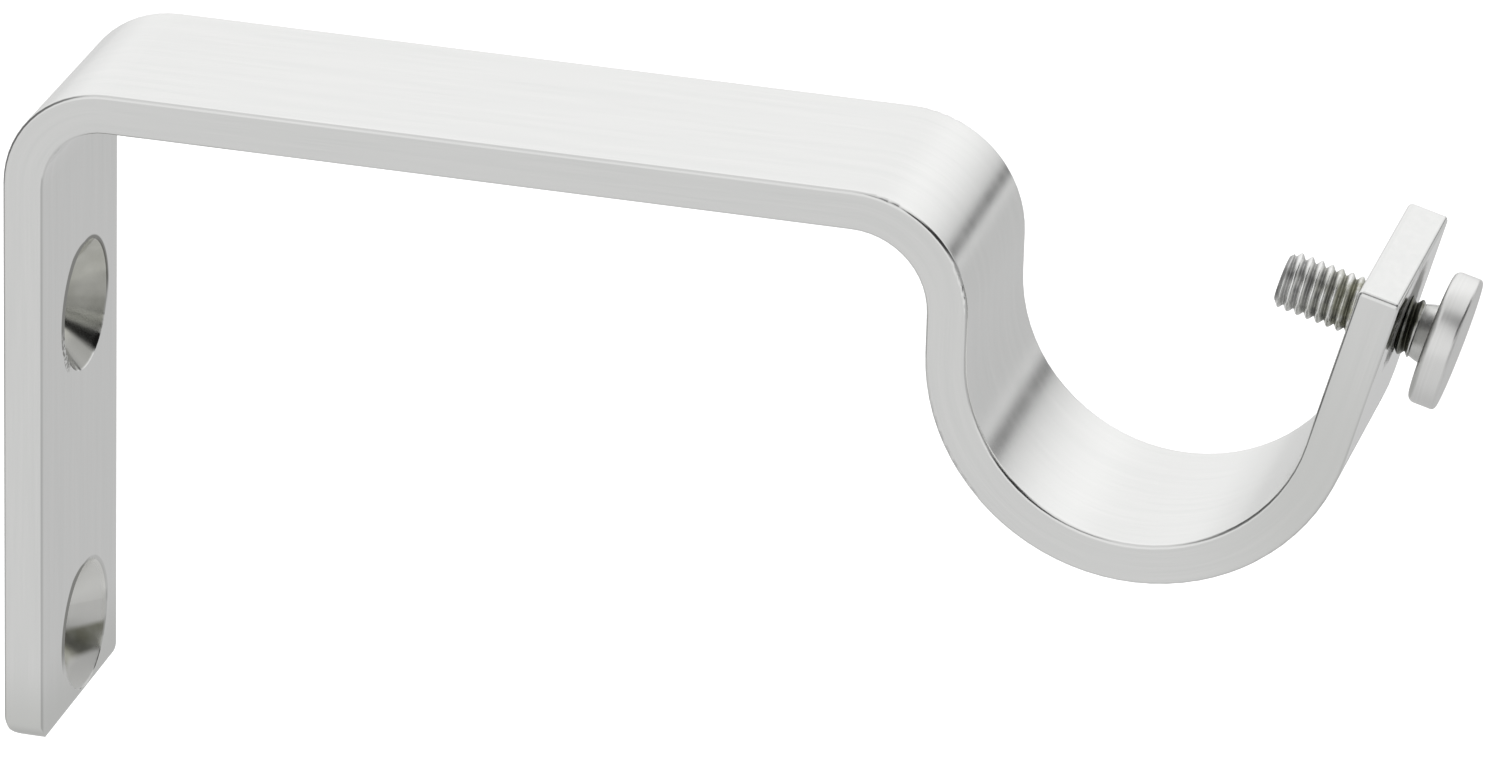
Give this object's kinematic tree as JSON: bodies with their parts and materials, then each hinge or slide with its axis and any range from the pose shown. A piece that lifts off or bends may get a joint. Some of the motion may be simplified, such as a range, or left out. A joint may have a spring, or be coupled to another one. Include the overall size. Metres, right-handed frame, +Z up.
{
  "type": "curtain pole bracket",
  "caption": "Flat-bar curtain pole bracket: a wall leg with countersunk screw holes, a level arm and an open round cup whose leaning lip carries a thumb screw",
  "frame": {"origin": "on the wall face, in the middle of the bar's width, at the height midway between the two fixing holes", "axes": "+X away from the wall, +Z up, +Y along the pole"},
  "size_m": [0.1226, 0.02, 0.06],
  "materials": {
    "bar_steel": "satin brushed, softened edges",
    "screw_steel": "turned and plated, satin"
  },
  "bodies": {
    "bracket": {"bracket": "bar_steel"},
    "thumb_screw": {"thumb_screw": "screw_steel"}
  },
  "joints": [
    {"name": "screw_travel", "type": "slide", "parent": "bracket", "child": "thumb_screw", "axis": [0.9659, 0, -0.2588], "range_m": [-0.0011, 0.007]}
  ]
}
